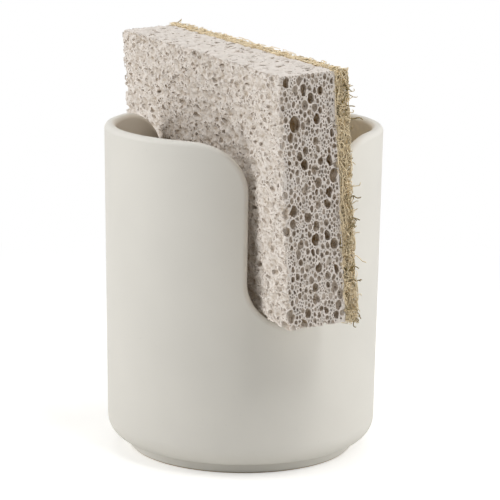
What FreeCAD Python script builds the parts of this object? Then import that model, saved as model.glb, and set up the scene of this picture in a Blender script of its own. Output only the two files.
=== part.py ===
# Sponge holder: a one-piece stoneware cup with two opposite slots, and the two-layer sponge that stands in them.
# Millimetres, +Z up. The origin is the centre of the foot's underside, and the slots face -Y and +Y.
import FreeCAD, Part
import math
import os
import Sketcher

# Driving sizes: name, value, what it is.
DRIVING_SIZES = [
    ("holder_height", "97", "underside of the foot to the rim"),
    ("rim_radius", "41", "outside of the wall at the rim"),
    ("wall_draft", "1", "how much less the wall's radius is at the foot than at the rim"),
    ("wall_thickness", "3.4", "wall, measured level"),
    ("floor_thickness", "4.2", "floor above the foot's step"),
    ("foot_height", "3", "foot ring below the body"),
    ("foot_inset", "6.3", "how far the foot stands in from the body"),
    ("foot_ring_width", "5", "flat ring that the cup stands on"),
    ("foot_hollow", "1.6", "depth of the hollow inside the foot ring"),
    ("foot_bevel", "0.6", "softened edges of the foot ring"),
    ("lower_rounding", "6.1", "round turn from the wall to the underside"),
    ("inner_rounding", "6", "round turn from the inside wall to the floor"),
    ("lip_rounding", "1.4", "rounded edge along the rim and the slots"),
    ("slot_depth", "52.2", "rim to the bottom of the slot"),
    ("slot_room", "3.2", "space on each side of an upright sponge in the slot"),
    ("flare_radius", "14.3", "flared upper corners of the slot"),
    ("sponge_length", "126", "sponge along the slots"),
    ("sponge_width", "70", "sponge from its lower to its upper edge"),
    ("sponge_thickness", "16", "cellulose layer"),
    ("bond_thickness", "0.3", "glue layer"),
    ("bond_inset", "0.6", "how far the glue stops short of the sponge's edges"),
    ("pad_thickness", "3.3", "fibre layer"),
    ("corner_rounding", "1.6", "corners of the layers, seen from the side"),
    ("edge_rounding", "1.1", "edges of the two outer faces"),
    ("seat_gap", "0.3", "clearance between the sponge and the slot's edges"),
    ("cut_over", "8", "overrun of the slot's cut above the rim"),
]

# Plain shares of the sizes above.
SHARES = [
    ("turn_share", "0.12", "part of the slot's room that the sponge takes by standing askew"),
    ("lean_share", "0.7", "part of the room that is left which the sponge takes by leaning"),
    ("rounding_limit_share", "0.97", "largest part of its wall that a rounding may take"),
]

# Sizes worked out from the driving ones.
DERIVED_SIZES = [
    ("base_radius", "rim_radius - wall_draft"),
    ("foot_radius", "base_radius - foot_inset"),
    ("hollow_radius", "foot_radius - foot_ring_width"),
    ("floor_top", "foot_height + floor_thickness"),
    ("wall_slope", "wall_draft / (holder_height - foot_height)"),
    ("inner_floor_radius", "base_radius + wall_slope * floor_thickness - wall_thickness"),
    ("inner_rim_radius", "rim_radius - wall_thickness"),
    ("lower_turn", "min(lower_rounding; foot_inset * rounding_limit_share)"),
    ("inner_turn", "min(inner_rounding; inner_floor_radius * rounding_limit_share)"),
    ("lip_turn", "min(lip_rounding; wall_thickness / 2 * rounding_limit_share)"),
    ("foot_cut", "min(foot_bevel; foot_ring_width / 2 * rounding_limit_share)"),
    ("stack_thickness", "sponge_thickness + bond_thickness + pad_thickness"),
    ("slot_half", "stack_thickness / 2 + slot_room"),
    ("slot_centre_height", "holder_height - slot_depth + slot_half"),
    ("flare_height", "holder_height - flare_radius"),
    ("askew_shift", "slot_room * turn_share"),
    ("askew_turn", "asin(askew_shift / rim_radius)"),
    ("lean_run", "(slot_room - askew_shift - seat_gap) * lean_share"),
    ("lean_angle", "atan(lean_run / (flare_height - slot_centre_height))"),
    ("seat_half", "stack_thickness / 2 + askew_shift"),
    ("seat_reach", "slot_half - seat_gap - layer_edge"),
    ("seat_drop", "layer_edge + sqrt(seat_reach^2 - (seat_half - layer_edge)^2)"),
    ("layer_corner", "min(corner_rounding; sponge_width / 2 * rounding_limit_share)"),
    ("layer_edge", "min(edge_rounding; pad_thickness * rounding_limit_share)"),
    ("far_end", "sponge_length / 2"),
    ("near_end", "-far_end"),
    ("lower_edge", "-seat_drop"),
    ("upper_edge", "sponge_width - seat_drop"),
    ("bond_far_end", "far_end - bond_inset"),
    ("bond_near_end", "-bond_far_end"),
    ("bond_lower_edge", "lower_edge + bond_inset"),
    ("bond_upper_edge", "upper_edge - bond_inset"),
    ("block_start", "-stack_thickness / 2"),
    ("bond_start", "block_start + sponge_thickness"),
    ("pad_start", "bond_start + bond_thickness"),
    ("pad_end", "pad_start + pad_thickness"),
]

# Where the sponge stands: it turns about the centre of the slots' round bottoms, set askew and leaning on one edge.
SPONGE_PLACE = (
    "create(<<placement>>; create(<<vector>>; 0; 0; Sizes.slot_centre_height);"
    " create(<<rotation>>; Sizes.askew_turn; -Sizes.lean_angle; 0))"
)

# Numbers by which a sketch knows its axes and the points of a line or an arc. Its origin is the start of its level axis.
H_AXIS, V_AXIS = range(-1, -3, -1)
START, END, CENTRE = range(1, 4)

QUARTER_TURN = math.pi / 2


def size_of(doc, name):
    """A size of the sheet as a plain number, or zero where no name is given."""
    return float(getattr(doc.Sizes, name)) if name else 0.0


def make_sheet(doc):
    """Write the sizes into the document's sheet, each under its own name."""
    sheet = doc.addObject("Spreadsheet::Sheet", "Sizes")
    rows = DRIVING_SIZES + SHARES
    rows = rows + [(name, "=" + formula, "worked out") for name, formula in DERIVED_SIZES]
    for number, (name, value, note) in enumerate(rows, start=1):
        sheet.set(f"A{number}", name)
        sheet.set(f"B{number}", value)
        sheet.set(f"C{number}", note)
        sheet.setAlias(f"B{number}", name)
    doc.recompute()


def new_sketch(body, name, role):
    """Add a sketch on one of the body's own origin planes."""
    sketch = body.newObject("Sketcher::SketchObject", name)
    plane = next(item for item in body.Origin.OriginFeatures if item.Role == role)
    sketch.AttachmentSupport = (plane, [""])
    sketch.MapMode = "FlatFace"
    return sketch


def tie(sketch, kind, *items):
    """Add a constraint that has no size."""
    sketch.addConstraint(Sketcher.Constraint(kind, *items))


def bind(sketch, kind, *items, size):
    """Add a dimension and tie it to a size of the sheet."""
    index = sketch.addConstraint(Sketcher.Constraint(kind, *items, size_of(sketch.Document, size)))
    sketch.setExpression(f"Constraints[{index}]", f"Sizes.{size}")


def draw_outline(sketch, corners):
    """Draw a closed outline of straight lines through corners given as size names; None lies on the axis."""
    doc = sketch.Document
    places = [FreeCAD.Vector(size_of(doc, across), size_of(doc, up), 0) for across, up in corners]
    lines = [
        sketch.addGeometry(Part.LineSegment(start, end))
        for start, end in zip(places, places[1:] + places[:1])
    ]
    for line, following in zip(lines, lines[1:] + lines[:1]):
        tie(sketch, "Coincident", line, END, following, START)
    for line, (across, up) in zip(lines, corners):
        if across:
            bind(sketch, "DistanceX", H_AXIS, START, line, START, size=across)
        else:
            tie(sketch, "PointOnObject", line, START, V_AXIS)
        if up:
            bind(sketch, "DistanceY", H_AXIS, START, line, START, size=up)
        else:
            tie(sketch, "PointOnObject", line, START, H_AXIS)


def draw_slot(sketch):
    """Draw the slot: a half-round bottom, upright sides, and corners that flare out into the rim."""
    doc = sketch.Document
    half = size_of(doc, "slot_half")
    wide = half + size_of(doc, "flare_radius")
    low = size_of(doc, "slot_centre_height")
    shoulder = size_of(doc, "flare_height")
    rim = size_of(doc, "holder_height")
    top = rim + size_of(doc, "cut_over")

    def line(start, end):
        return sketch.addGeometry(Part.LineSegment(FreeCAD.Vector(*start, 0), FreeCAD.Vector(*end, 0)))

    def arc(centre, size, first_quarter, last_quarter):
        circle = Part.Circle(FreeCAD.Vector(*centre, 0), FreeCAD.Vector(0, 0, 1), size_of(doc, size))
        piece = Part.ArcOfCircle(circle, first_quarter * QUARTER_TURN, last_quarter * QUARTER_TURN)
        index = sketch.addGeometry(piece)
        bind(sketch, "Radius", index, size=size)
        return index

    bowl = arc((0, low), "slot_half", 2, 4)
    right = line((half, low), (half, shoulder))
    right_flare = arc((wide, shoulder), "flare_radius", 1, 2)
    right_top = line((wide, rim), (wide, top))
    across = line((wide, top), (-wide, top))
    left_top = line((-wide, top), (-wide, rim))
    left_flare = arc((-wide, shoulder), "flare_radius", 0, 1)
    left = line((-half, shoulder), (-half, low))

    tie(sketch, "Tangent", bowl, END, right, START)
    tie(sketch, "Tangent", right, END, right_flare, END)
    tie(sketch, "Coincident", right_flare, START, right_top, START)
    tie(sketch, "Coincident", right_top, END, across, START)
    tie(sketch, "Coincident", across, END, left_top, START)
    tie(sketch, "Coincident", left_top, END, left_flare, END)
    tie(sketch, "Tangent", left_flare, START, left, START)
    tie(sketch, "Tangent", left, END, bowl, START)
    for upright in (right, right_top, left_top):
        tie(sketch, "Vertical", upright)
    tie(sketch, "Horizontal", across)
    tie(sketch, "PointOnObject", bowl, CENTRE, V_AXIS)
    tie(sketch, "Vertical", right_flare, CENTRE, right_flare, START)
    tie(sketch, "Vertical", left_flare, CENTRE, left_flare, END)
    bind(sketch, "DistanceY", H_AXIS, START, bowl, CENTRE, size="slot_centre_height")
    bind(sketch, "DistanceY", H_AXIS, START, right_flare, START, size="holder_height")
    bind(sketch, "DistanceY", H_AXIS, START, left_flare, END, size="holder_height")
    bind(sketch, "DistanceY", right_top, START, right_top, END, size="cut_over")


def edge_names(shape, test):
    """Name the edges of a shape that pass a test; none is an error."""
    names = [f"Edge{number}" for number, edge in enumerate(shape.Edges, start=1) if test(edge)]
    if not names:
        raise RuntimeError("no edge to round")
    return names


def near(first, second):
    """Whether two lengths are the same, apart from rounding errors."""
    return math.isclose(first, second, rel_tol=1e-6, abs_tol=1e-6)


def ring_test(doc, rings):
    """A test for turned edges, given as size names of their radius and height."""
    wanted = [(size_of(doc, radius), size_of(doc, height)) for radius, height in rings]

    def test(edge):
        curve = edge.Curve
        if type(curve).__name__ != "Circle":
            return False
        return any(near(curve.Radius, radius) and near(curve.Center.z, height) for radius, height in wanted)

    return test


def round_edges(body, base, name, test, size):
    """Round the edges of a feature that pass a test, by a size of the sheet."""
    rounding = body.newObject("PartDesign::Fillet", name)
    rounding.Base = (base, edge_names(base.Shape, test))
    rounding.setExpression("Radius", f"Sizes.{size}")
    body.Document.recompute()
    return rounding


def make_cup(doc):
    """The holder: a turned cup with a foot ring, one slot cut through both walls, and every edge rounded."""
    body = doc.addObject("PartDesign::Body", "holder_cup")
    profile = new_sketch(body, "CupProfile", "XZ_Plane")
    draw_outline(
        profile,
        [
            (None, "foot_hollow"),
            ("hollow_radius", "foot_hollow"),
            ("hollow_radius", None),
            ("foot_radius", None),
            ("foot_radius", "foot_height"),
            ("base_radius", "foot_height"),
            ("rim_radius", "holder_height"),
            ("inner_rim_radius", "holder_height"),
            ("inner_floor_radius", "floor_top"),
            (None, "floor_top"),
        ],
    )
    turned = body.newObject("PartDesign::Revolution", "TurnedCup")
    turned.Profile = profile
    turned.ReferenceAxis = (profile, ["V_Axis"])
    turned.Angle = 360
    doc.recompute()

    bevel = body.newObject("PartDesign::Chamfer", "FootEdges")
    feet = ring_test(doc, [("foot_radius", None), ("hollow_radius", None)])
    bevel.Base = (turned, edge_names(turned.Shape, feet))
    bevel.setExpression("Size", "Sizes.foot_cut")
    doc.recompute()
    outside = ring_test(doc, [("base_radius", "foot_height")])
    step = round_edges(body, bevel, "LowerTurn", outside, "lower_turn")
    inside = ring_test(doc, [("inner_floor_radius", "floor_top")])
    step = round_edges(body, step, "InnerTurn", inside, "inner_turn")

    outline = new_sketch(body, "SlotOutline", "XZ_Plane")
    draw_slot(outline)
    slot = body.newObject("PartDesign::Pocket", "Slots")
    slot.Profile = outline
    slot.Type = "ThroughAll"
    slot.SideType = "Symmetric"
    doc.recompute()
    if near(slot.Shape.Volume, step.Shape.Volume):
        raise RuntimeError("the slot cut nothing")

    def lip(edge):
        kinds = [type(face.Surface).__name__ for face in slot.Shape.ancestorsOfType(edge, Part.Face)]
        on_wall = "Cone" in kinds and edge.BoundBox.ZMin > size_of(doc, "floor_top")
        return on_wall and ("Plane" in kinds or "Cylinder" in kinds)

    round_edges(body, slot, "Lips", lip, "lip_turn")


def make_layer(doc, name, start, thickness, ends, edges):
    """A flat layer of the sponge, standing in the slots with its face square to the leaning stack."""
    body = doc.addObject("PartDesign::Body", name)
    outline = new_sketch(body, name + "_outline", "YZ_Plane")
    outline.setExpression("AttachmentOffset.Base.z", f"Sizes.{start}")
    near_end, far_end = ends
    lower, upper = edges
    draw_outline(outline, [(near_end, lower), (far_end, lower), (far_end, upper), (near_end, upper)])
    layer = body.newObject("PartDesign::Pad", name + "_layer")
    layer.Profile = outline
    layer.setExpression("Length", f"Sizes.{thickness}")
    body.setExpression("Placement", SPONGE_PLACE)
    doc.recompute()
    return body, layer


def round_layer(doc, body, layer, outer_face):
    """Round the corners of a layer, then the edges of the face that shows."""
    face = size_of(doc, outer_face)

    def through(edge):
        return not near(edge.BoundBox.XMin, edge.BoundBox.XMax)

    def outer(edge):
        return near(edge.BoundBox.XMin, face) and near(edge.BoundBox.XMax, face)

    corners = round_edges(body, layer, body.Name + "_corners", through, "layer_corner")
    round_edges(body, corners, body.Name + "_edges", outer, "layer_edge")


def make_sponge(doc):
    """The sponge: a cellulose block and a fibre pad with their glue between them."""
    ends, edges = ("near_end", "far_end"), ("lower_edge", "upper_edge")
    body, layer = make_layer(doc, "sponge_block", "block_start", "sponge_thickness", ends, edges)
    round_layer(doc, body, layer, "block_start")
    body, layer = make_layer(doc, "scour_pad", "pad_start", "pad_thickness", ends, edges)
    round_layer(doc, body, layer, "pad_end")
    bond_ends, bond_edges = ("bond_near_end", "bond_far_end"), ("bond_lower_edge", "bond_upper_edge")
    make_layer(doc, "bond_film", "bond_start", "bond_thickness", bond_ends, bond_edges)


def write_parts(doc):
    """Check every object, then write each piece to its own file."""
    doc.recompute()
    failed = [item.Name for item in doc.Objects if "Invalid" in item.State or "Error" in item.State]
    pieces = [item for item in doc.Objects if item.TypeId == "PartDesign::Body"]
    failed += [piece.Name for piece in pieces if piece.Shape.isNull() or not piece.Shape.isValid()]
    failed += [piece.Name for piece in pieces if len(piece.Shape.Solids) != 1]
    if failed:
        raise RuntimeError("failed: " + ", ".join(failed))
    os.makedirs("parts", exist_ok=True)
    for piece in pieces:
        piece.Shape.exportStep(f"parts/{piece.Label}.step")
        print(piece.Label, round(piece.Shape.Volume), piece.Shape.BoundBox)


document = FreeCAD.newDocument("SpongeHolder")
make_sheet(document)
make_cup(document)
make_sponge(document)
write_parts(document)
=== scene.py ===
"""Looks of the sponge holder: a glazed stoneware cup and the two-layer sponge that stands in its slots."""

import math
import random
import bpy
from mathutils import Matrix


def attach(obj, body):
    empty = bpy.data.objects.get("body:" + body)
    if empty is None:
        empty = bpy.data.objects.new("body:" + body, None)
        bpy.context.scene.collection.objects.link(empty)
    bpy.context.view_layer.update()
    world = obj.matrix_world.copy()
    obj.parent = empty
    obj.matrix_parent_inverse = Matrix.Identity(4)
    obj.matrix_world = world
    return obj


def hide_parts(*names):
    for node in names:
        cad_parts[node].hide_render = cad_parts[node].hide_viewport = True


bl_info = {
    "name": "Sponge Holder",
    "version": (1, 0, 0),
    "blender": (4, 5, 0),
    "location": "3D View > Sidebar > Sponge Holder",
    "description": "Dresses the stoneware sponge holder, its cellulose sponge and its scouring pad",
    "category": "Object",
}

from collections import namedtuple

import bmesh
import bpy
import numpy as np
from mathutils import Matrix, Quaternion, Vector, noise

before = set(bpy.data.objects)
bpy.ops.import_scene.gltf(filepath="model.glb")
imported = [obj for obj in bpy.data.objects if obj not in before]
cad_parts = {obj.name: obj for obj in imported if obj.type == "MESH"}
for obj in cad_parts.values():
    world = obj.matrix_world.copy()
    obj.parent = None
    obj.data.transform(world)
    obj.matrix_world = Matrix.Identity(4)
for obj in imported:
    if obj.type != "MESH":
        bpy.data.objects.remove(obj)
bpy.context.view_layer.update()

# The scene is in metres; patterns, pores and fibres are given in millimetres
millimetre = 0.001

# The cup's inner face and floor, and the run over which the painted shade inside the cup begins
cup_inside = 38.2 * millimetre
cup_floor = 7.1 * millimetre
inside_shade_run = millimetre

# The slots: the centre of their round bottoms, the height where they flare, and half the room across them
slot_turn_height = 57.8 * millimetre
slot_flare_height = 82.7 * millimetre
slot_clear = 12.7 * millimetre

# Where the slotted wall stands along the sponge, half its depth with some room, and how its press fades
slot_middle = 38.5 * millimetre
slot_deep = 3.5 * millimetre
slot_fade = 2.5 * millimetre

# The run over which the sponge swells where it stands out of the slots
swell_run = 6 * millimetre

# Cells and crumbs are longer along the sponge than across it
grain_drawn = 2


def linear(code):
    """Linear colour of an sRGB hex code."""
    parts = [int(code[place:place + 2], 16) / 255 for place in range(0, len(code), 2)]
    return tuple(part / 12.92 if part <= 0.04045 else ((part + 0.055) / 1.055) ** 2.4 for part in parts)


def opaque(colour):
    """A colour with full alpha, as a shader socket takes it."""
    return (*colour, 1)


def dimmed(colour, share):
    """A colour with this share of its light."""
    return [part * share for part in colour]


def per_metre(size_mm):
    """Scale of a texture whose features are this many millimetres wide."""
    return 1 / (size_mm * millimetre)


class SpongeHolderColours(bpy.types.PropertyGroup):
    """Colours of the finishes"""

    glaze: bpy.props.FloatVectorProperty(
        name="Glaze", description="Matte glaze on the cup", subtype="COLOR", size=3, min=0, max=1,
        default=linear("E8E5DD"))
    # Painted shade: a darker, warmer glaze colour inside the cup that stands in for the shade and warm
    # bounced light there
    painted_inside_shade: bpy.props.FloatVectorProperty(
        name="Painted inside shade", description="Painted warm shade inside the cup", subtype="COLOR", size=3,
        min=0, max=1, default=linear("DDD3C2"))
    clay: bpy.props.FloatVectorProperty(
        name="Clay", description="Bare fired clay under the foot", subtype="COLOR", size=3, min=0, max=1,
        default=linear("C9B79C"))
    cellulose: bpy.props.FloatVectorProperty(
        name="Cellulose", description="Outer skin of the sponge", subtype="COLOR", size=3, min=0, max=1,
        default=linear("F3EBE3"))
    # Painted shade: the colour that pores and pits are darkened towards with depth, standing in for the shade
    # in them
    painted_pore_shade: bpy.props.FloatVectorProperty(
        name="Pore", description="Painted shade in the sponge's pores and pits", subtype="COLOR", size=3, min=0, max=1,
        default=linear("8A6F45"))
    straw: bpy.props.FloatVectorProperty(
        name="Straw", description="Palest fibres of the scouring pad", subtype="COLOR", size=3, min=0, max=1,
        default=linear("FEEDCB"))
    olive: bpy.props.FloatVectorProperty(
        name="Olive", description="Darkest fibres of the scouring pad", subtype="COLOR", size=3, min=0, max=1,
        default=linear("7A6730"))
    glue: bpy.props.FloatVectorProperty(
        name="Glue", description="Dried glue between the two layers", subtype="COLOR", size=3, min=0, max=1,
        default=linear("D6C6A4"))


class SpongeHolderSizes(bpy.types.PropertyGroup):
    """Sizes of the sponge's pores and of the pad's fibres"""

    large_pore: bpy.props.FloatProperty(
        name="Large pore", description="Width of the largest cells in a cut end", unit="LENGTH",
        default=3.2 * millimetre, min=millimetre, max=5 * millimetre)
    pit: bpy.props.FloatProperty(
        name="Pit", description="Width of the pits in the bare face", unit="LENGTH",
        default=1.5 * millimetre, min=0.8 * millimetre, max=3 * millimetre)
    fibre: bpy.props.FloatProperty(
        name="Fibre", description="Thickness of a fibre of the pad", unit="LENGTH",
        default=0.22 * millimetre, min=0.1 * millimetre, max=0.4 * millimetre)


def add(tree, kind, fields=(), sockets=(), links=(), ramp=()):
    """Add a node to a tree, set its fields, sockets and colour ramp, and link other nodes' outputs to it."""
    node = tree.nodes.new(kind)
    for name, value in dict(fields).items():
        setattr(node, name, value)
    for name, value in dict(sockets).items():
        node.inputs[name].default_value = value
    for name, source in dict(links).items():
        tree.links.new(source, node.inputs[name])
    for index, (position, colour) in enumerate(ramp):
        node.color_ramp.elements[index].position = position
        node.color_ramp.elements[index].color = opaque(colour)
    return node


# A Mix node's colour sockets, which share their names with its sockets for numbers and vectors
mix_share = 0
mix_first = 6
mix_second = 7
mix_result = 2


def new_material(name):
    """An empty node material with its output, and the object's coordinates."""
    material = bpy.data.materials.new(name)
    material.use_nodes = True
    tree = material.node_tree
    tree.nodes.clear()
    output = add(tree, "ShaderNodeOutputMaterial")
    coordinates = add(tree, "ShaderNodeTexCoord").outputs["Object"]
    return material, tree, output, coordinates


# The glaze's mottling, specks and orange peel, and the heights where bare clay ends and glaze is whole
mottle_width = 28
glaze_speck_width = 0.9
peel_width = 1.6
peel_height = 0.05 * millimetre
clay_end_height = 0.2 * millimetre
glaze_whole_height = 0.5 * millimetre


def glazed_stoneware(colours):
    """Slip-cast stoneware under a matte glaze: a soft sheen, faint mottling, bare clay under the foot, and
    painted warm shade inside.
    """
    material, tree, output, place = new_material("matte_glazed_stoneware")
    mottle = add(tree, "ShaderNodeTexNoise", sockets={"Scale": per_metre(mottle_width), "Detail": 2},
                 links={"Vector": place})
    speck = add(tree, "ShaderNodeTexNoise", sockets={"Scale": per_metre(glaze_speck_width), "Detail": 1},
                links={"Vector": place})
    tone = add(tree, "ShaderNodeValToRGB", links={"Fac": mottle.outputs["Fac"]},
               ramp=((0.3, dimmed(colours.glaze, 0.95)), (0.7, colours.glaze)))
    speck_mask = add(tree, "ShaderNodeMapRange", links={"Value": speck.outputs["Fac"]},
                     sockets={"From Min": 0.72, "From Max": 0.8, "To Max": 0.12})
    specked = add(tree, "ShaderNodeMix", {"data_type": "RGBA"},
                  {mix_second: opaque(dimmed(colours.glaze, 0.7))},
                  {mix_share: speck_mask.outputs["Result"], mix_first: tone.outputs["Color"]})
    height = add(tree, "ShaderNodeSeparateXYZ", links={0: place})
    bare = add(tree, "ShaderNodeMapRange", links={"Value": height.outputs["Z"]},
               sockets={"From Min": clay_end_height, "From Max": glaze_whole_height,
                        "To Min": 1, "To Max": 0})
    level = add(tree, "ShaderNodeCombineXYZ", links={"X": height.outputs["X"], "Y": height.outputs["Y"]})
    radius = add(tree, "ShaderNodeVectorMath", {"operation": "LENGTH"}, links={0: level.outputs[0]})
    # Painted shade: inside the cup and above its floor, the glaze takes the darker, warmer inside colour in
    # place of shade and bounced light
    inside = add(tree, "ShaderNodeMapRange", links={"Value": radius.outputs["Value"]},
                 sockets={"From Min": cup_inside - inside_shade_run, "From Max": cup_inside + inside_shade_run,
                          "To Min": 1, "To Max": 0})
    above = add(tree, "ShaderNodeMapRange", links={"Value": height.outputs["Z"]},
                sockets={"From Min": cup_floor - inside_shade_run, "From Max": cup_floor})
    inside_shade_mask = add(tree, "ShaderNodeMath", {"operation": "MULTIPLY"},
               links={0: inside.outputs["Result"], 1: above.outputs["Result"]})
    inside_shaded = add(tree, "ShaderNodeMix", {"data_type": "RGBA"}, {mix_second: opaque(colours.painted_inside_shade)},
                 {mix_share: inside_shade_mask.outputs[0], mix_first: specked.outputs[mix_result]})
    coloured = add(tree, "ShaderNodeMix", {"data_type": "RGBA"}, {mix_second: opaque(colours.clay)},
                   {mix_share: bare.outputs["Result"], mix_first: inside_shaded.outputs[mix_result]})
    peel = add(tree, "ShaderNodeTexNoise", sockets={"Scale": per_metre(peel_width), "Detail": 3},
               links={"Vector": place})
    roughness = add(tree, "ShaderNodeMapRange", links={"Value": mottle.outputs["Fac"]},
                    sockets={"To Min": 0.5, "To Max": 0.62})
    bump = add(tree, "ShaderNodeBump", sockets={"Strength": 0.12, "Distance": peel_height},
               links={"Height": peel.outputs["Fac"]})
    shader = add(tree, "ShaderNodeBsdfPrincipled", sockets={"IOR": 1.5},
                 links={"Base Color": coloured.outputs[mix_result], "Roughness": roughness.outputs["Result"],
                        "Normal": bump.outputs["Normal"]})
    tree.links.new(shader.outputs[0], output.inputs[0])
    return material


# The foam's blotches, flecks of painted pit shade and crumbs, and the depth in millimetres where the painted
# shade in a pore is darkest
blotch_width = 4
fleck_width = 0.9
crumb_height = 0.3 * millimetre
darkest_depth = 1.9


def cellulose_foam(colours):
    """Cast cellulose foam: dry and chalky, palest on the outer skin, with painted shade that browns its
    pores' depths and flecks its faces.
    """
    material, tree, output, place = new_material("cellulose_foam")
    depth = add(tree, "ShaderNodeAttribute", {"attribute_name": "depth_mm"})
    blotch = add(tree, "ShaderNodeTexNoise", sockets={"Scale": per_metre(blotch_width), "Detail": 3},
                 links={"Vector": place})
    skin = add(tree, "ShaderNodeValToRGB", links={"Fac": blotch.outputs["Fac"]},
               ramp=((0.35, dimmed(colours.cellulose, 0.92)), (0.6, colours.cellulose)))
    # Painted shade: the deeper a point lies below the worn faces, the more it takes the pore shade colour
    shade = add(tree, "ShaderNodeMapRange", links={"Value": depth.outputs["Fac"]},
                sockets={"From Min": 0, "From Max": darkest_depth, "To Max": 0.9})
    drawn = add(tree, "ShaderNodeMapping", sockets={"Scale": (1, 1 / grain_drawn, 1)},
                links={"Vector": place})
    fleck = add(tree, "ShaderNodeTexNoise", links={"Vector": drawn.outputs["Vector"]},
                sockets={"Scale": per_metre(fleck_width), "Detail": 4, "Roughness": 0.7})
    # Painted shade of fine pits: dark flecks on the same noise as the crumbs' bumps, mixed towards the pore
    # shade colour
    speck = add(tree, "ShaderNodeMapRange", links={"Value": fleck.outputs["Fac"]},
                sockets={"From Min": 0.46, "From Max": 0.64})
    # The bare face has the strongest flecks of painted pit shade
    sides = add(tree, "ShaderNodeSeparateXYZ",
                links={0: add(tree, "ShaderNodeNewGeometry").outputs["True Normal"]})
    bare = add(tree, "ShaderNodeMath", {"operation": "ABSOLUTE"}, links={0: sides.outputs["X"]})
    strength = add(tree, "ShaderNodeMapRange", links={"Value": bare.outputs[0]},
                   sockets={"From Min": 0.3, "From Max": 0.9, "To Min": 0.08, "To Max": 0.45})
    dark = add(tree, "ShaderNodeMath", {"operation": "MULTIPLY_ADD", "use_clamp": True},
               links={0: speck.outputs["Result"], 1: strength.outputs["Result"], 2: shade.outputs["Result"]})
    coloured = add(tree, "ShaderNodeMix", {"data_type": "RGBA"}, {mix_second: opaque(colours.painted_pore_shade)},
                   {mix_share: dark.outputs[0], mix_first: skin.outputs["Color"]})
    bump = add(tree, "ShaderNodeBump", sockets={"Strength": 0.8, "Distance": crumb_height},
               links={"Height": fleck.outputs["Fac"]})
    shader = add(tree, "ShaderNodeBsdfPrincipled",
                 sockets={"Roughness": 0.9, "IOR": 1.47, "Specular IOR Level": 0.3},
                 links={"Base Color": coloured.outputs[mix_result], "Normal": bump.outputs["Normal"]})
    tree.links.new(shader.outputs[0], output.inputs[0])
    return material


# A fibre's changes of tone along its length, and the grain of its surface
tone_length = 3
fibre_grain_width = 0.4
fibre_grain_height = 0.1 * millimetre


def plant_fibre(name, pale, dark):
    """Cleaned plant fibre: dry, slightly waxy strands whose tan varies along each one."""
    material, tree, output, place = new_material(name)
    streak = add(tree, "ShaderNodeTexNoise", sockets={"Scale": per_metre(tone_length), "Detail": 3},
                 links={"Vector": place})
    tone = add(tree, "ShaderNodeValToRGB", links={"Fac": streak.outputs["Fac"]},
               ramp=((0.35, dark), (0.62, pale)))
    grain = add(tree, "ShaderNodeTexNoise", sockets={"Scale": per_metre(fibre_grain_width), "Detail": 2},
                links={"Vector": place})
    bump = add(tree, "ShaderNodeBump", sockets={"Strength": 0.4, "Distance": fibre_grain_height},
               links={"Height": grain.outputs["Fac"]})
    shader = add(tree, "ShaderNodeBsdfPrincipled",
                 sockets={"Roughness": 0.7, "IOR": 1.5, "Specular IOR Level": 0.35},
                 links={"Base Color": tone.outputs["Color"], "Normal": bump.outputs["Normal"]})
    tree.links.new(shader.outputs[0], output.inputs[0])
    return material


# The mat's fine streaks: how wide, how many times as long, how high, and in how many directions
streak_width = 0.5
streak_drawn = 8
streak_height = 0.3 * millimetre
streak_ways = 3


def fibre_mat(pale, dark):
    """Matted plant fibre under the loose strands: fine streaks at all angles, and painted shade in dull tan
    between them.
    """
    material, tree, output, place = new_material("plant_fibre_mat")
    streaks = []
    for way in range(streak_ways):
        drawn = add(tree, "ShaderNodeMapping", {"vector_type": "TEXTURE"}, links={"Vector": place},
                    sockets={"Rotation": (way * math.pi / streak_ways, 0, 0), "Scale": (1, streak_drawn, 1)})
        streak = add(tree, "ShaderNodeTexNoise", sockets={"Scale": per_metre(streak_width), "Detail": 3},
                     links={"Vector": drawn.outputs["Vector"]})
        streaks.append(streak.outputs["Fac"])
    highest = streaks[0]
    for streak in streaks[1:]:
        higher = add(tree, "ShaderNodeMath", {"operation": "MAXIMUM"}, links={0: highest, 1: streak})
        highest = higher.outputs[0]
    # Painted shade: where the streaks are low, the mat takes its dark tan, standing in for the shade between
    # its fibres
    tone = add(tree, "ShaderNodeValToRGB", links={"Fac": highest}, ramp=((0.5, dark), (0.62, pale)))
    bump = add(tree, "ShaderNodeBump", sockets={"Strength": 0.8, "Distance": streak_height},
               links={"Height": highest})
    shader = add(tree, "ShaderNodeBsdfPrincipled",
                 sockets={"Roughness": 0.8, "IOR": 1.5, "Specular IOR Level": 0.3},
                 links={"Base Color": tone.outputs["Color"], "Normal": bump.outputs["Normal"]})
    tree.links.new(shader.outputs[0], output.inputs[0])
    return material


# The unevenness of the dried glue
glue_blot_width = 2
glue_blot_height = 0.1 * millimetre


def dried_glue(colours):
    """Dried hot glue between the layers: a thin amber line, a little glossy and uneven."""
    material, tree, output, place = new_material("dried_glue")
    uneven = add(tree, "ShaderNodeTexNoise", sockets={"Scale": per_metre(glue_blot_width), "Detail": 2},
                 links={"Vector": place})
    tone = add(tree, "ShaderNodeValToRGB", links={"Fac": uneven.outputs["Fac"]},
               ramp=((0, dimmed(colours.glue, 0.7)), (1, colours.glue)))
    bump = add(tree, "ShaderNodeBump", sockets={"Strength": 0.3, "Distance": glue_blot_height},
               links={"Height": uneven.outputs["Fac"]})
    shader = add(tree, "ShaderNodeBsdfPrincipled", sockets={"Roughness": 0.4, "IOR": 1.48},
                 links={"Base Color": tone.outputs["Color"], "Normal": bump.outputs["Normal"]})
    tree.links.new(shader.outputs[0], output.inputs[0])
    return material


# How far the soft layers stand off their CAD places, as the photograph shows: aside, back and turned
slip_aside = -1.1
slip_back = 2.2
slip_turn = math.radians(0.45)
soft_slip = (Matrix.Translation(Vector((slip_aside, slip_back, 0)) * millimetre)
             @ Matrix.Rotation(slip_turn, 4, "Z"))


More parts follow.
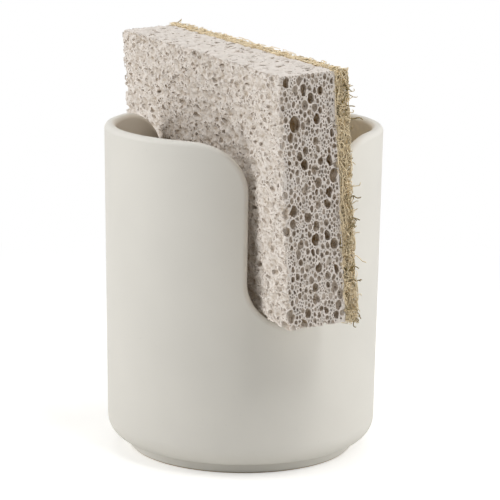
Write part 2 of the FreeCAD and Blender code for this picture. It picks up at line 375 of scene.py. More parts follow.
def straight_frame(node):
    """Where a leaning CAD layer's own axes lie, and its half thickness, length and width in millimetres."""
    points = np.array([vertex.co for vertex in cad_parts[node].data.vertices])
    axes = np.linalg.eigh(np.cov(points.T)).eigenvectors
    thickness, width, length = (axis * np.sign(axis[np.abs(axis).argmax()]) for axis in axes.T)
    turned = np.column_stack((thickness, length, width))
    straight = points @ turned
    low = straight.min(axis=0)
    high = straight.max(axis=0)
    centre = turned @ ((low + high) / 2)
    place = Matrix.Translation(centre) @ Matrix(turned.tolist()).to_4x4()
    return soft_slip @ place @ Matrix.Scale(millimetre, 4), (high - low) / 2 / millimetre


def new_piece(name, mesh, body, materials):
    """A piece of the object from a finished mesh."""
    piece = bpy.data.objects.new(name, mesh)
    bpy.context.scene.collection.objects.link(piece)
    for material in materials:
        mesh.materials.append(material)
    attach(piece, body)
    return piece


def points_of(mesh):
    """The places of a mesh's points, one row each."""
    points = np.zeros(len(mesh.vertices) * 3)
    mesh.vertices.foreach_get("co", points)
    return points.reshape(-1, 3)


def move_points(mesh, points):
    """Move a mesh's points to these places."""
    mesh.vertices.foreach_set("co", points.ravel())
    mesh.update()


def mesh_of(shape, name):
    """A mesh from a bmesh, which is freed."""
    mesh = bpy.data.meshes.new(name)
    shape.to_mesh(mesh)
    shape.free()
    return mesh


# An edge or a face lies along an axis when this share of its direction does
along_share = 0.9


def gridded_block(halves, spacings):
    """A bmesh block with these half sizes, its faces divided into a grid about this fine along each axis."""
    grid = bmesh.new()
    bmesh.ops.create_cube(grid, size=2)
    bmesh.ops.scale(grid, vec=halves, verts=grid.verts)
    for axis, (half, spacing) in enumerate(zip(halves, spacings)):
        cuts = round(2 * half / spacing) - 1
        if cuts < 1:
            continue
        along = [edge for edge in grid.edges
                 if abs((edge.verts[0].co - edge.verts[1].co).normalized()[axis]) > along_share]
        bmesh.ops.subdivide_edges(grid, edges=along, cuts=cuts)
    return grid


def lumps(point, size):
    """Smooth noise from 0 to 1 with lumps about this wide."""
    return 0.5 + 0.5 * noise.noise(point / size)


# How steeply a hollow rises to its ridges
hollow_slope = 1.4


def dimples(point, size):
    """Hollows about this wide that meet in ridges: 1 at a hollow's bottom and 0 on the ridges."""
    return max(0, 1 - hollow_slope * noise.voronoi(point / size)[0][0])


# What a face's wear is made of, as shares of its amount: lumps, hollows of uneven depth, and a finer grain
lump_share = 0.2
hollow_share = 0.9
grain_share = 0.3
least_hollow_share = 0.3
uneven_hollow_share = 1.4
grain_finer = 4

# A point this near to a face, in millimetres, lies on it
face_slack = 0.01


def roughen(grid, halves, amounts, size, hollow):
    """Wear a block's faces inwards by uneven amounts, one per axis, with lumps and hollows of these sizes."""
    for vertex in grid.verts:
        start = vertex.co.copy()
        grain = Vector((start.x, start.y / grain_drawn, start.z))
        touched = [axis for axis in range(3) if abs(start[axis]) > halves[axis] - face_slack]
        # The face towards the other layer stays flat
        if start.x > halves[0] - face_slack:
            touched.remove(0)
        for axis in touched:
            uneven = least_hollow_share + uneven_hollow_share * lumps(grain, hollow)
            hollowed = dimples(grain, hollow) * uneven
            wear = amounts[axis] * (lump_share * lumps(start, size) + hollow_share * hollowed
                                    + grain_share * lumps(grain, hollow / grain_finer))
            # An edge between two faces wears more than they do
            if len(touched) > 1:
                wear += amounts[axis] * lumps(start, size / 2) ** 2
            vertex.co[axis] -= math.copysign(wear, start[axis])


def unit_ball(level):
    """A ball of radius 1 for the pores, finer at a higher level."""
    ball = bmesh.new()
    bmesh.ops.create_icosphere(ball, subdivisions=level, radius=1)
    return mesh_of(ball, f"pore_{level}")


# A cell's ball: the radii above which it is finer, and how far it wobbles, lobes, leans and stretches
finer_ball_radii = (0.4, 1)
wobble_share = 0.18
lobe_share = 0.26
lean = 0.6
stretch_shares = (0.1, 0.9)

# A cell's place among others: how far it keeps off the border, how far its neighbours are sought, the room it
# needs, the depth in millimetres that every cell has, and how far it sinks in
border_share = 0.8
neighbour_share = 1.5
least_room_share = 0.25
least_depth = 0.25
sink_shares = (-0.1, 0.4)


class PoreField:
    """Pores gathered in layers before they are cut; the pores of one layer never touch one another."""

    def __init__(self, seed):
        self.dice = random.Random(seed)
        self.rough = np.random.default_rng(seed)
        self.balls = [unit_ball(level + 1) for level in range(len(finer_ball_radii) + 1)]
        self.layers = []

    def pack(self, spans, batches, apart):
        """Discs scattered in a rectangle, with this share of the smaller one's radius between any two."""
        room = sum(attempts for least, most, attempts in batches)
        spots = np.zeros((room, 2))
        radii = np.zeros(room)
        kept = 0
        for least, most, attempts in batches:
            for attempt in range(attempts):
                spot = np.array([self.dice.uniform(-span, span) for span in spans])
                radius = self.dice.uniform(least, most)
                gaps = np.hypot(*(spots[:kept] - spot).T)
                larger = np.maximum(radii[:kept], radius)
                smaller = np.minimum(radii[:kept], radius)
                if (gaps > larger + smaller * (1 + apart)).all():
                    spots[kept] = spot
                    radii[kept] = radius
                    kept += 1
        return spots[:kept], radii[:kept]

    def crowd(self, spans, batches, rounds):
        """Discs scattered in a rectangle and then pushed apart, small ones further, till few overlap."""
        radii = np.concatenate([self.rough.uniform(least, most, count) for least, most, count in batches])
        heights = []
        for least, most, count in batches:
            heights.append((np.arange(count) + self.rough.uniform(0, 1, count)) / count)
        spread = np.column_stack((self.rough.uniform(0, 1, len(radii)), np.concatenate(heights)))
        room = np.array(spans) - border_share * radii[:, None]
        spots = (2 * spread - 1) * room
        weights = radii ** 2 / np.add.outer(radii ** 2, radii ** 2)
        for turn in range(rounds):
            offsets = spots[:, None] - spots
            gaps = np.hypot(offsets[..., 0], offsets[..., 1])
            np.fill_diagonal(gaps, np.inf)
            push = np.maximum(np.add.outer(radii, radii) - gaps, 0) * weights / gaps
            spots = np.clip(spots + (offsets * push[..., None]).sum(axis=1), -room, room)
        return spots, radii

    def uneven_ball(self, radius):
        """A ball of about this radius, and its points made wobbly, lobed and drawn out about upright."""
        level = sum(radius > limit for limit in finer_ball_radii)
        ball = self.balls[level].copy()
        points = points_of(ball) * radius
        points *= 1 + wobble_share * self.rough.uniform(-1, 1, (len(points), 1))
        around = np.arctan2(points[:, 1], points[:, 0])
        for lobes in (2, 3):
            swell = lobe_share * np.cos(lobes * around + self.dice.uniform(0, math.tau))
            points[:, :2] *= 1 + swell[:, None]
        angle = self.dice.gauss(0, lean)
        long_way = np.array((-math.sin(angle), math.cos(angle)))
        stretch = self.dice.uniform(*stretch_shares)
        points[:, :2] += np.outer(points[:, :2] @ long_way * stretch, long_way)
        return ball, points

    def press_cells(self, spots, radii, walls, depths, place):
        """Add a layer of cells: uneven balls flattened where they meet, with thin walls between them."""
        layer = bmesh.new()
        for spot, radius in zip(spots, radii):
            offsets = spots - spot
            gaps = np.hypot(*offsets.T)
            near = (gaps > 0) & (gaps < neighbour_share * (radii + radius))
            gaps = gaps[near]
            offsets = offsets[near] / gaps[:, None]
            wall = self.dice.uniform(*walls)
            limits = (gaps ** 2 + radius ** 2 - radii[near] ** 2) / (2 * gaps) - wall / 2
            if (limits < least_room_share * radius).any():
                continue
            ball, points = self.uneven_ball(radius)
            reach = points[:, :2] @ offsets.T
            points[:, :2] /= np.where(reach > limits, reach / limits, 1).max(axis=1, initial=1)[:, None]
            points[:, 2] *= self.dice.uniform(*depths) + least_depth / radius
            points[:, :2] += spot
            points[:, 2] -= radius * self.dice.uniform(*sink_shares)
            move_points(ball, points)
            ball.transform(place)
            layer.from_mesh(ball)
            bpy.data.meshes.remove(ball)
        self.layers.append(layer)

    def stud(self, pores):
        """Add a layer of round holes, given as centres and radii, leaving out those that would touch."""
        layer = bmesh.new()
        kept = []
        for centre, radius in pores:
            if any((centre - other).length < radius + reach for other, reach in kept):
                continue
            kept.append((centre, radius))
            ball = self.balls[0].copy()
            ball.transform(Matrix.LocRotScale(centre, None, Vector([radius] * 3)))
            layer.from_mesh(ball)
            bpy.data.meshes.remove(ball)
        self.layers.append(layer)


def cut_away(mesh, field):
    """The mesh with every layer of pores cut out of it."""
    block = bpy.data.objects.new("uncut_block", mesh)
    bpy.context.scene.collection.objects.link(block)
    cutters = []
    for index, layer in enumerate(field.layers):
        bmesh.ops.recalc_face_normals(layer, faces=layer.faces)
        cutter_mesh = mesh_of(layer, f"cutter_{index}")
        cutter = bpy.data.objects.new(cutter_mesh.name, cutter_mesh)
        bpy.context.scene.collection.objects.link(cutter)
        cut = block.modifiers.new(cutter.name, "BOOLEAN")
        cut.operation = "DIFFERENCE"
        cut.solver = "MANIFOLD"
        cut.object = cutter
        cutters.append(cutter)
    cut_mesh = bpy.data.meshes.new_from_object(block.evaluated_get(bpy.context.evaluated_depsgraph_get()))
    cut_mesh.materials.clear()
    if len(cut_mesh.polygons) <= len(mesh.polygons):
        raise RuntimeError("The pores could not be cut out of the sponge")
    for spare in [block, *cutters]:
        bpy.data.objects.remove(spare)
    for ball in field.balls:
        bpy.data.meshes.remove(ball)
    return cut_mesh


def swell_ends(mesh, halves, upper, lower):
    """Swell the bare face where it stands out of the slots, by these amounts at its two long edges."""
    points = points_of(mesh)
    across, along, up = points.T
    bare = (halves[0] - across) / (2 * halves[0])
    low = (halves[2] - up) / (2 * halves[2])
    free = np.clip((np.abs(along) * millimetre - slot_middle - slot_deep) / swell_run, 0, 1)
    points[:, 0] -= (upper + (lower - upper) * low) * bare * free
    move_points(mesh, points)


def store_depth(mesh, halves, worn):
    """Keep on each point how many millimetres it lies below the worn faces, apart from the glued one."""
    points = points_of(mesh)
    below = halves - np.abs(points)
    below[:, 0] = points[:, 0] + halves[0]
    below -= worn
    depth = mesh.attributes.new("depth_mm", "FLOAT", "POINT")
    depth.data.foreach_set("value", below.min(axis=1).astype(np.float32))


def facing(right, up, out, middle):
    """The matrix that lays a flat pattern on a face with these directions, through its middle."""
    return Matrix.Translation(middle) @ Matrix((right, up, out)).transposed().to_4x4()


def sized(batch_shares, size):
    """Batches of least and most radius and number, from radii given as shares of a size."""
    return [(least * size, most * size, number) for least, most, number in batch_shares]


# Cells in a cut end, as shares of the largest one's radius, with their numbers. They are taller than wide,
# keep off the glue and leave walls of these millimetres, and the larger ones have small holes in them
end_cell_shares = ((0.7, 1, 6), (0.45, 0.7, 58), (0.28, 0.45, 170), (0.18, 0.28, 380), (0.12, 0.18, 520))
end_depth_shares = (0.5, 1.3)
end_walls = (0.1, 0.22)
cell_tall = 1.6
glue_border_share = 0.12
crowd_rounds = 30
holed_share = 0.5
hole_shares = (0.2, 0.32)
holes_each = 6


def end_cells(field, halves, big, end):
    """Open cells in a cut end: upright ovals of all sizes with thin walls, and small holes in the largest."""
    thick, long, wide = halves
    border = glue_border_share * big
    spots, radii = field.crowd((thick - border, wide / cell_tall), sized(end_cell_shares, big), crowd_rounds)
    place = facing((1, 0, 0), (0, 0, cell_tall), (0, end, 0), (-border, end * long, 0))
    field.press_cells(spots, radii, end_walls, end_depth_shares, place)
    holes = []
    for spot, radius in zip(spots, radii):
        if radius <= holed_share * big:
            continue
        for hole in range(holes_each):
            way = Vector([field.dice.gauss(0, 1) for axis in range(3)]).normalized()
            way.z = -abs(way.z)
            centre = place @ (Vector((*spot, 0)) + way * radius)
            holes.append((centre, field.dice.uniform(*hole_shares) * big))
    field.stud(holes)


# Pits in the bare face and pores in the long edges, as shares of a pit's radius, with the number of tries
face_pit_shares = ((0.75, 1.2, 300), (0.45, 0.8, 3000), (0.25, 0.5, 9000))
face_depth_shares = (0.6, 1.6)
face_sink_share = 0.3
edge_pore_shares = ((0.8, 1.4, 130), (0.35, 0.6, 300))
edge_depth_shares = (0.9, 1.6)
edge_apart_share = 0.8
pit_walls = (0.1, 0.3)


def face_pits(field, halves, pit):
    """Pits in the bare face: rough hollows drawn out lengthwise, with pin-holes between them."""
    thick, long, wide = halves
    spots, radii = field.pack((long / grain_drawn, wide), sized(face_pit_shares, pit), 0)
    place = facing((0, grain_drawn, 0), (0, 0, 1), (-1, 0, 0), (face_sink_share * pit - thick, 0, 0))
    field.press_cells(spots, radii, pit_walls, face_depth_shares, place)


def edge_pores(field, halves, pit, edge):
    """Sparse round pores in a long edge, and pin-holes between them."""
    thick, long, wide = halves
    spots, radii = field.pack((thick, long), sized(edge_pore_shares, pit), edge_apart_share)
    place = facing((1, 0, 0), (0, 1, 0), (0, 0, edge), (0, 0, edge * wide))
    field.press_cells(spots, radii, pit_walls, edge_depth_shares, place)


pore_seed = 11
lengthwise = np.array((0, 1, 0))


def sponge_pores(halves, worn, sizes):
    """The sponge's pores: open cells in its cut ends, pits in its bare face, sparse holes in its edges."""
    field = PoreField(pore_seed)
    big = sizes.large_pore / millimetre / 2
    pit = sizes.pit / millimetre / 2
    face_pits(field, halves, pit)
    for side in (-1, 1):
        end_cells(field, halves - worn * lengthwise, big, side)
        edge_pores(field, halves, pit, side)
    return field


def clear_of_slots(mesh):
    """Press a soft layer in where it passes through the cup's slots, so that it doesn't touch the cup."""
    points = points_of(mesh)
    outside = np.maximum(np.abs(np.abs(points[:, 1]) - slot_middle) - slot_deep, 0)
    hold = np.clip(1 - outside / slot_fade, 0, 1)
    hold = hold * hold * (3 - 2 * hold)
    drop = np.minimum(points[:, 2] - slot_turn_height, 0)
    reach = np.hypot(points[:, 0], drop)
    pressed = np.maximum(reach / slot_clear, 1)
    flared = np.clip((points[:, 2] - slot_flare_height) / slot_fade, 0, 1)
    pressed = 1 + (pressed - 1) * hold * (1 - flared)
    points[:, 2] += drop / pressed - drop
    points[:, 0] /= pressed
    move_points(mesh, points)


class SPONGEHOLDER_OT_glaze_cup(bpy.types.Operator):
    """Give the cup its matte glaze and the bare clay under its foot"""

    bl_idname = "sponge_holder.glaze_cup"
    bl_label = "Glaze cup"

    def execute(self, context):
        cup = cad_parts["holder_cup"]
        cup.data.materials.clear()
        cup.data.materials.append(glazed_stoneware(context.scene.sponge_holder_colours))
        return {"FINISHED"}


# Wear of the sponge's bare face, cut ends and long edges, its lumps and hollows, and the angle of a crease
wear_shares = np.array((1, 0.4, 0.5))
sponge_lump = 4
sponge_hollow = 2.4
crease_angle = math.radians(40)


class SPONGEHOLDER_OT_cut_sponge(bpy.types.Operator):
    """Make the cellulose sponge, with worn faces and open pores"""

    bl_idname = "sponge_holder.cut_sponge"
    bl_label = "Cut sponge"

    grid_mm: bpy.props.FloatVectorProperty(
        name="Grid", description="Spacing of the points across, along and up the sponge, in millimetres",
        size=3, default=(0.5, 0.7, 0.35), min=0.3, max=5)
    wear_mm: bpy.props.FloatProperty(
        name="Wear", description="Depth of the wear on the faces, in millimetres", default=1.1, min=0, max=2)
    swell_mm: bpy.props.FloatVectorProperty(
        name="Swelling", description="Swelling outside the slots at the upper and lower edge, in millimetres",
        size=2, default=(0.5, 1.4), min=0, max=3)

    def execute(self, context):
        place, halves = straight_frame("sponge_block")
        worn = self.wear_mm * wear_shares
        grid = gridded_block(halves, self.grid_mm)
        roughen(grid, halves, worn, sponge_lump, sponge_hollow)
        glued = [face for face in grid.faces if face.normal.x > along_share]
        bmesh.ops.dissolve_faces(grid, faces=glued)
        mesh = mesh_of(grid, "sponge")
        mesh = cut_away(mesh, sponge_pores(halves, worn / 2, context.scene.sponge_holder_sizes))
        store_depth(mesh, halves, worn / 2)
        swell_ends(mesh, halves, *self.swell_mm)
        mesh.shade_smooth()
        mesh.set_sharp_from_angle(angle=crease_angle)
        mesh.transform(place)
        clear_of_slots(mesh)
        sponge = new_piece("sponge", mesh, "sponge",
                           [cellulose_foam(context.scene.sponge_holder_colours)])
        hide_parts("sponge_block")
        return {"FINISHED"}


# Grid, lumps, hollows and wear of the glue film and the pad's core; the glue lies just inside the edges
coarse_grid = (1.5, 1.5, 1.5)
coarse_hollow = 2
glue_lump = 4
glue_wear = (0, 0.2, 0.2)
glue_inset = np.array((0, 0.05, 0.05))
core_lump = 3
core_wear = (0, 0.8, 0.8)


class SPONGEHOLDER_OT_spread_glue(bpy.types.Operator):
    """Make the thin, uneven glue film between the two layers"""

    bl_idname = "sponge_holder.spread_glue"
    bl_label = "Spread glue"

    def execute(self, context):
        place, halves = straight_frame("bond_film")
        halves = halves - glue_inset
        spread = gridded_block(halves, coarse_grid)
        roughen(spread, halves, glue_wear, glue_lump, coarse_hollow)
        mesh = mesh_of(spread, "glue_film")
        mesh.transform(place)
        clear_of_slots(mesh)
        film = new_piece("glue_film", mesh, "sponge",
                         [dried_glue(context.scene.sponge_holder_colours)])
        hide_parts("bond_film")
        return {"FINISHED"}


# The pad's dense core, as shares of the pad's thickness, length and width
core_shares = np.array((0.62, 0.992, 0.985))


def matted_core(halves):
    """The pad's dense core, with uneven edges, against the glued face."""
    core_halves = halves * core_shares
    core = gridded_block(core_halves, coarse_grid)
    roughen(core, core_halves, core_wear, core_lump, coarse_hollow)
    bmesh.ops.translate(core, vec=(core_halves[0] - halves[0], 0, 0), verts=core.verts)
    return core


# The part of a fibre's bend that it keeps from one point to the next, and how thin its tips are
bend_kept_share = 0.7
tip_share = 0.5


def tangle(dice, start, heading, limits, steps, stride, curl):
    """Points of one fibre: a walk that curls by chance and slides along the limits where it meets them."""
    points = [Vector(start)]
    heading = Vector(heading).normalized()
    axis = Vector([dice.gauss(0, 1) for way in range(3)]).normalized()
    bend = dice.gauss(0, curl)
    for step in range(steps):
        bend = bend_kept_share * bend + dice.gauss(0, curl)
        heading.rotate(Quaternion(axis, bend))
        point = points[-1] + heading * stride
        points.append(Vector([min(max(part, least), most) for part, least, most in zip(point, *limits)]))
    return points


def fibre_mesh(fibres, thickness, name):
    """A mesh of thin tubes along the fibres, thinner towards their ends."""
    curve = bpy.data.curves.new(name, "CURVE")
    curve.dimensions = "3D"
    curve.bevel_depth = thickness / 2
    curve.bevel_resolution = 0
    curve.use_fill_caps = True
    for points in fibres:
        spline = curve.splines.new("POLY")
        spline.points.add(len(points) - 1)
        for index, point in enumerate(points):
            spline.points[index].co = (*point, 1)
        spline.points[0].radius = tip_share
        spline.points[-1].radius = tip_share
    holder = bpy.data.objects.new(name, curve)
    bpy.context.scene.collection.objects.link(holder)
    mesh = bpy.data.meshes.new_from_object(holder.evaluated_get(bpy.context.evaluated_depsgraph_get()))
    bpy.data.objects.remove(holder)
    bpy.data.curves.remove(curve)
    return mesh


def reach_of(halves, loose, lap=0):
    """The limits of a fibre: the mat's faces, passed by this much, and by the lap alone at the glued face."""
    return -halves - np.array((lap, loose, loose)), halves + loose


# A kind of fibre: how one is laid, how many there are, and the steps, strides in millimetres and curl of each
Strand = namedtuple("Strand", "lay number steps strides curl")

# The mat's uneven tufts: how high they rise, and their width and low start on its face and along its edges
tuft_rise = 1.6
face_tuft_width = 7
face_tuft_low = 0.7
edge_tuft_width = 6
edge_tuft_low = 0.6

# Lying fibres: how deep they root, how far past the mat's faces they go, how far over the glue those in the
# ends lap, and how much a fibre leaves its main direction
lying_from_share = -0.1
lying_depth = 1.5
face_loose = (-0.7, 0.1)
end_loose = (-0.6, 0.3)
edge_loose = (-0.8, 0)
end_lap = 0.9
face_tilt = 0.25
end_tilts = (0.6, 0.4)
edge_tilts = (0.5, 0.3)


def lie_on_face(dice, halves):
    """Start, heading and limits of a fibre that lies over the mat's outer face in uneven tufts."""
    thick, long, wide = halves
    across = dice.uniform(lying_from_share, 1) * thick
    start = Vector((across, dice.uniform(-1, 1) * long, dice.uniform(-1, 1) * wide))
    puff = tuft_rise * lumps(start, face_tuft_width) - face_tuft_low
    angle = dice.uniform(0, math.tau)
    heading = (dice.gauss(0, face_tilt), math.cos(angle), math.sin(angle))
    return start, heading, reach_of(halves, dice.uniform(*face_loose) + puff)


def lie_on_end(dice, halves):
    """Start, heading and limits of a fibre that runs up or down one of the mat's cut ends."""
    thick, long, wide = halves
    end = dice.choice((-1, 1))
    across = dice.uniform(-1, 1) * thick
    start = (across, end * (long - dice.uniform(0, lying_depth)), dice.uniform(-1, 1) * wide)
    aside, out = end_tilts
    heading = (dice.gauss(0, aside), dice.gauss(0, out), dice.choice((-1, 1)))
    return start, heading, reach_of(halves, dice.uniform(*end_loose), dice.uniform(0, end_lap))


def lie_on_edge(dice, halves):
    """Start, heading and limits of a fibre that runs along one of the mat's long edges."""
    thick, long, wide = halves
    edge = dice.choice((-1, 1))
    across = dice.uniform(-1, 1) * thick
    start = Vector((across, dice.uniform(-1, 1) * long, edge * (wide - dice.uniform(0, lying_depth))))
    aside, out = edge_tilts
    heading = (dice.gauss(0, aside), dice.choice((-1, 1)), dice.gauss(0, out))
    loose = dice.uniform(*edge_loose) + tuft_rise * lumps(start, edge_tuft_width) - edge_tuft_low
    return start, heading, reach_of(halves, loose)


# Stray fibres: how deep they root, how steeply they leave the pad, and how far they may go. Strides at the
# ends have a long tail, so that a few fibres stand far out
stray_from_share = -0.4
end_stray_depth = 1
face_stray_depth = 0.5
end_stray_lift = (-0.2, 1)
end_stray_out = (0, 0.8)
face_stray_lift = (0.1, 0.7)
stray_reach = 5
stray_tail_rate = 14


def stand_on_end(dice, halves):
    """Start, heading and limits of a loose fibre that stands out of one of the pad's ends."""
    thick, long, wide = halves
    end = dice.choice((-1, 1))
    across = dice.uniform(stray_from_share, 1) * thick
    start = (across, end * (long - dice.uniform(0, end_stray_depth)), dice.uniform(-1, 1) * wide)
    heading = (dice.uniform(*end_stray_lift), end * dice.uniform(*end_stray_out), dice.gauss(0, 1))
    return start, heading, reach_of(halves, stray_reach)


def stand_on_face(dice, halves):
    """Start, heading and limits of a loose fibre that stands out of the pad's face."""
    thick, long, wide = halves
    across = thick - dice.uniform(0, face_stray_depth)
    start = (across, dice.uniform(-1, 1) * long, dice.uniform(-1, 1) * wide)
    heading = (dice.uniform(*face_stray_lift), dice.gauss(0, 1), dice.gauss(0, 1))
    return start, heading, reach_of(halves, stray_reach)


lying_kinds = (
    Strand(lie_on_face, number=5600, steps=7, strides=(0.8, 1.8), curl=0.35),
    Strand(lie_on_end, number=1800, steps=8, strides=(0.5, 1.1), curl=0.45),
    Strand(lie_on_edge, number=2600, steps=7, strides=(0.5, 1.3), curl=0.4),
)
end_strays = Strand(stand_on_end, number=220, steps=12, strides=(0.12, 0.3), curl=0.45)
face_strays = Strand(stand_on_face, number=400, steps=7, strides=(0.1, 0.35), curl=0.45)


def strew(dice, halves, kind):
    """All the fibres of a kind."""
    fibres = []
    for count in range(kind.number):
        start, heading, limits = kind.lay(dice, halves)
        stride = dice.uniform(*kind.strides)
        if kind is end_strays:
            stride += dice.expovariate(stray_tail_rate)
        fibres.append(tangle(dice, start, heading, limits, kind.steps, stride, kind.curl))
    return fibres


# Tones of the pad: tan as a share of straw, the dark side of the tan fibres' tone and the mat's painted shade
# between its streaks as shares of tan, where straw and then tan end among the lying fibres, and how much
# thicker each darker tone's fibres are
tan_share = 0.94
dark_tan_share = 0.7
mat_gap_shade_share = 0.75
straw_to_share = 0.84
tan_to_share = 0.97
coarser_share = 0.25
pad_seed = 29


def toned_strands(dice, halves, colours):
    """The pad's fibres in three tones, each with the name, pale side and dark side of its material."""
    lying = [fibre for kind in lying_kinds for fibre in strew(dice, halves, kind)]
    loose = strew(dice, halves, end_strays) + strew(dice, halves, face_strays)
    dice.shuffle(lying)
    straw_end = round(straw_to_share * len(lying))
    tan_end = round(tan_to_share * len(lying))
    tan = dimmed(colours.straw, tan_share)
    khaki = [(light + dark) / 2 for light, dark in zip(tan, colours.olive)]
    return (
        (lying[:straw_end], "plant_fibre_straw", colours.straw, tan),
        (lying[straw_end:tan_end] + loose[::2], "plant_fibre_tan", tan, dimmed(tan, dark_tan_share)),
        (lying[tan_end:] + loose[1::2], "plant_fibre_olive", khaki, colours.olive),
    )


def lay_fibres(mat, fibres, thickness, name, slot):
    """Add the tubes of these fibres to a mat, in one of its material slots."""
    mesh = fibre_mesh(fibres, thickness, name)
    known = len(mat.faces)
    mat.from_mesh(mesh)
    mat.faces.ensure_lookup_table()
    for face in mat.faces[known:]:
        face.material_index = slot
        face.smooth = True
    bpy.data.meshes.remove(mesh)


class SPONGEHOLDER_OT_mat_scour_pad(bpy.types.Operator):
    """Make the scouring pad: a tangled mat of plant fibre with loose ends"""

    bl_idname = "sponge_holder.mat_scour_pad"
    bl_label = "Mat scouring pad"

    def execute(self, context):
        colours = context.scene.sponge_holder_colours
        thickness = context.scene.sponge_holder_sizes.fibre / millimetre
        place, halves = straight_frame("scour_pad")
        mat = matted_core(halves)
        # The mat's dark tan is painted shade between its fibres
        materials = [fibre_mat(colours.straw, dimmed(dimmed(colours.straw, tan_share), mat_gap_shade_share))]
        strands = toned_strands(random.Random(pad_seed), halves, colours)
        for index, (fibres, name, pale, dark) in enumerate(strands):
            lay_fibres(mat, fibres, thickness * (1 + coarser_share * index), name, len(materials))
            materials.append(plant_fibre(name, pale, dark))
        mesh = mesh_of(mat, "scour_pad_mat")
        mesh.transform(place)
        clear_of_slots(mesh)
        pad = new_piece("scour_pad_mat", mesh, "sponge", materials)
        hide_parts("scour_pad")
        return {"FINISHED"}


# Soft boxes about the object, seen from the camera: places and sizes in metres, powers in watts
lamps = {
    "left_box": {"place": (-0.9, -0.1, 0.4), "size": (0.9, 1.0), "power": 6.8},
    "right_box": {"place": (0.9, 0, 0.4), "size": (0.9, 1.0), "power": 6.1},
    "top_box": {"place": (0, 0.1, 1.1), "size": (1.0, 1.0), "power": 3.8},
    "key_box": {"place": (0.4, -0.6, 0.9), "size": (0.25, 0.25), "power": 1.8},
}
lamp_aim = Vector((0, 0, 60 * millimetre))
ambient = 0.1

# The floor: how far it reaches and where its shadows have faded to white, in metres, and its glow when seen
floor_reach = 6
shadow_reach = 0.3
floor_glow = 0.4
white_light = opaque((1, 1, 1))

# The camera at the photograph's place, with angles in degrees and the lens and film in camera millimetres
camera_aim = Vector((2.1, -0.8, 58.8)) * millimetre
camera_turn = -21.78
camera_rise = 11.87
camera_roll = 0.7
camera_distance = 632.1 * millimetre
camera_near = 10 * millimetre
camera_lens = 152.76
film_width = 36


def soft_box(name, place, size, power):
    """A large soft lamp that faces the object."""
    lamp = bpy.data.lights.new(name, "AREA")
    lamp.shape = "RECTANGLE"
    lamp.size, lamp.size_y = size
    lamp.energy = power
    holder = bpy.data.objects.new(name, lamp)
    holder.location = place
    holder.rotation_euler = (lamp_aim - place).to_track_quat("-Z", "Y").to_euler()
    bpy.context.scene.collection.objects.link(holder)


def white_surround():
    """A world that is white where it is seen and dimmer where it lights."""
    world = bpy.data.worlds.new("white_surround")
    world.use_nodes = True
    tree = world.node_tree
    tree.nodes.clear()
    ray = add(tree, "ShaderNodeLightPath")
    seen = add(tree, "ShaderNodeMath", {"operation": "ADD"},
               links={0: ray.outputs["Is Camera Ray"], 1: ray.outputs["Is Glossy Ray"]})
    shown = add(tree, "ShaderNodeMath", {"operation": "ADD", "use_clamp": True},
                links={0: seen.outputs[0], 1: ray.outputs["Is Transmission Ray"]})
    lit = add(tree, "ShaderNodeBackground", sockets={"Color": white_light, "Strength": ambient})
    white = add(tree, "ShaderNodeBackground", sockets={"Color": white_light, "Strength": 1})
    mixed = add(tree, "ShaderNodeMixShader",
                links={0: shown.outputs[0], 1: lit.outputs[0], 2: white.outputs[0]})
    add(tree, "ShaderNodeOutputWorld", links={0: mixed.outputs[0]})
    bpy.context.scene.world = world


def white_card():
    """White card: matte, keeping the object's shadow near it, and plain white to the eye further off."""
    material, tree, output, place = new_material("white_card")
    ray = add(tree, "ShaderNodeLightPath")
    away = add(tree, "ShaderNodeVectorMath", {"operation": "LENGTH"}, links={0: place})
    far = add(tree, "ShaderNodeMapRange", {"interpolation_type": "SMOOTHSTEP"},
              {"From Min": shadow_reach / 3, "From Max": shadow_reach}, {"Value": away.outputs["Value"]})
    plain = add(tree, "ShaderNodeMath", {"operation": "MULTIPLY"},
                links={0: far.outputs["Result"], 1: ray.outputs["Is Camera Ray"]})
    lift = add(tree, "ShaderNodeMath", {"operation": "MULTIPLY"}, {1: floor_glow},
               {0: ray.outputs["Is Camera Ray"]})
    paper = add(tree, "ShaderNodeBsdfDiffuse", sockets={"Color": opaque(linear("F4F3F0"))})
    glow = add(tree, "ShaderNodeEmission", sockets={"Color": white_light},
               links={"Strength": lift.outputs[0]})
    white = add(tree, "ShaderNodeEmission", sockets={"Color": white_light, "Strength": 1})
    lit = add(tree, "ShaderNodeAddShader", links={0: paper.outputs[0], 1: glow.outputs[0]})
    mixed = add(tree, "ShaderNodeMixShader",
                links={0: plain.outputs[0], 1: lit.outputs[0], 2: white.outputs[0]})
    tree.links.new(mixed.outputs[0], output.inputs[0])
    return material


def pale_floor():
    """A wide sheet of white card under the object."""
    card = bmesh.new()
    bmesh.ops.create_grid(card, x_segments=1, y_segments=1, size=floor_reach)
    mesh = mesh_of(card, "floor")
    mesh.materials.append(white_card())
    floor = bpy.data.objects.new("floor", mesh)
    bpy.context.scene.collection.objects.link(floor)


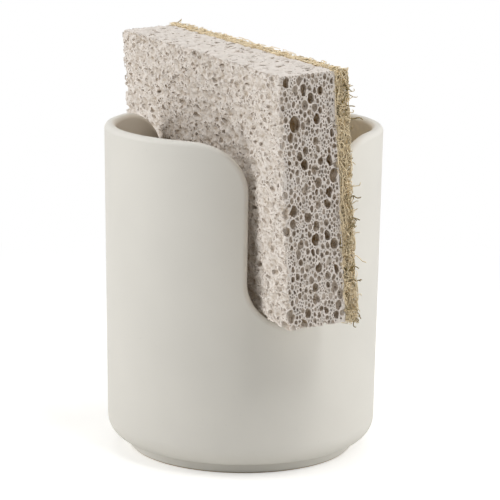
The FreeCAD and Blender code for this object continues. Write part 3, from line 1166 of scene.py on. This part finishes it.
def photo_camera(turn):
    """The camera at the photograph's place: low, to the left, and turned a little on its axis."""
    tip = Matrix.Rotation(math.radians(90 - camera_rise), 4, "X")
    roll = Matrix.Rotation(math.radians(camera_roll), 4, "Z")
    back = Matrix.Translation((0, 0, camera_distance))
    camera = bpy.data.cameras.new("camera")
    camera.lens = camera_lens
    camera.sensor_width = film_width
    camera.clip_start = camera_near
    holder = bpy.data.objects.new("camera", camera)
    holder.matrix_world = Matrix.Translation(camera_aim) @ turn @ tip @ back @ roll
    bpy.context.scene.collection.objects.link(holder)
    bpy.context.scene.camera = holder


class SPONGEHOLDER_OT_set_stage(bpy.types.Operator):
    """Set the floor, the lamps and the camera"""

    bl_idname = "sponge_holder.set_stage"
    bl_label = "Set stage"

    def execute(self, context):
        turn = Matrix.Rotation(math.radians(camera_turn), 4, "Z")
        photo_camera(turn)
        for name, lamp in lamps.items():
            soft_box(name, turn @ Vector(lamp["place"]), lamp["size"], lamp["power"])
        white_surround()
        pale_floor()
        context.scene.view_settings.view_transform = "Standard"
        return {"FINISHED"}


class SPONGEHOLDER_PT_panel(bpy.types.Panel):
    """Buttons and settings of the sponge holder"""

    bl_idname = "SPONGEHOLDER_PT_panel"
    bl_label = "Sponge Holder"
    bl_space_type = "VIEW_3D"
    bl_region_type = "UI"
    bl_category = "Sponge Holder"

    def draw(self, context):
        for group in (context.scene.sponge_holder_colours, context.scene.sponge_holder_sizes):
            for name in group.__annotations__:
                self.layout.prop(group, name)
        for operator in operators:
            self.layout.operator(operator.bl_idname)


operators = (
    SPONGEHOLDER_OT_glaze_cup,
    SPONGEHOLDER_OT_cut_sponge,
    SPONGEHOLDER_OT_spread_glue,
    SPONGEHOLDER_OT_mat_scour_pad,
    SPONGEHOLDER_OT_set_stage,
)
classes = (SpongeHolderColours, SpongeHolderSizes, *operators, SPONGEHOLDER_PT_panel)


def register():
    for known in classes:
        bpy.utils.register_class(known)
    bpy.types.Scene.sponge_holder_colours = bpy.props.PointerProperty(type=SpongeHolderColours)
    bpy.types.Scene.sponge_holder_sizes = bpy.props.PointerProperty(type=SpongeHolderSizes)


def unregister():
    del bpy.types.Scene.sponge_holder_sizes
    del bpy.types.Scene.sponge_holder_colours
    for known in reversed(classes):
        bpy.utils.unregister_class(known)


def main():
    register()
    bpy.ops.sponge_holder.glaze_cup()
    bpy.ops.sponge_holder.cut_sponge()
    bpy.ops.sponge_holder.spread_glue()
    bpy.ops.sponge_holder.mat_scour_pad()
    bpy.ops.sponge_holder.set_stage()


if __name__ == "__main__":
    main()
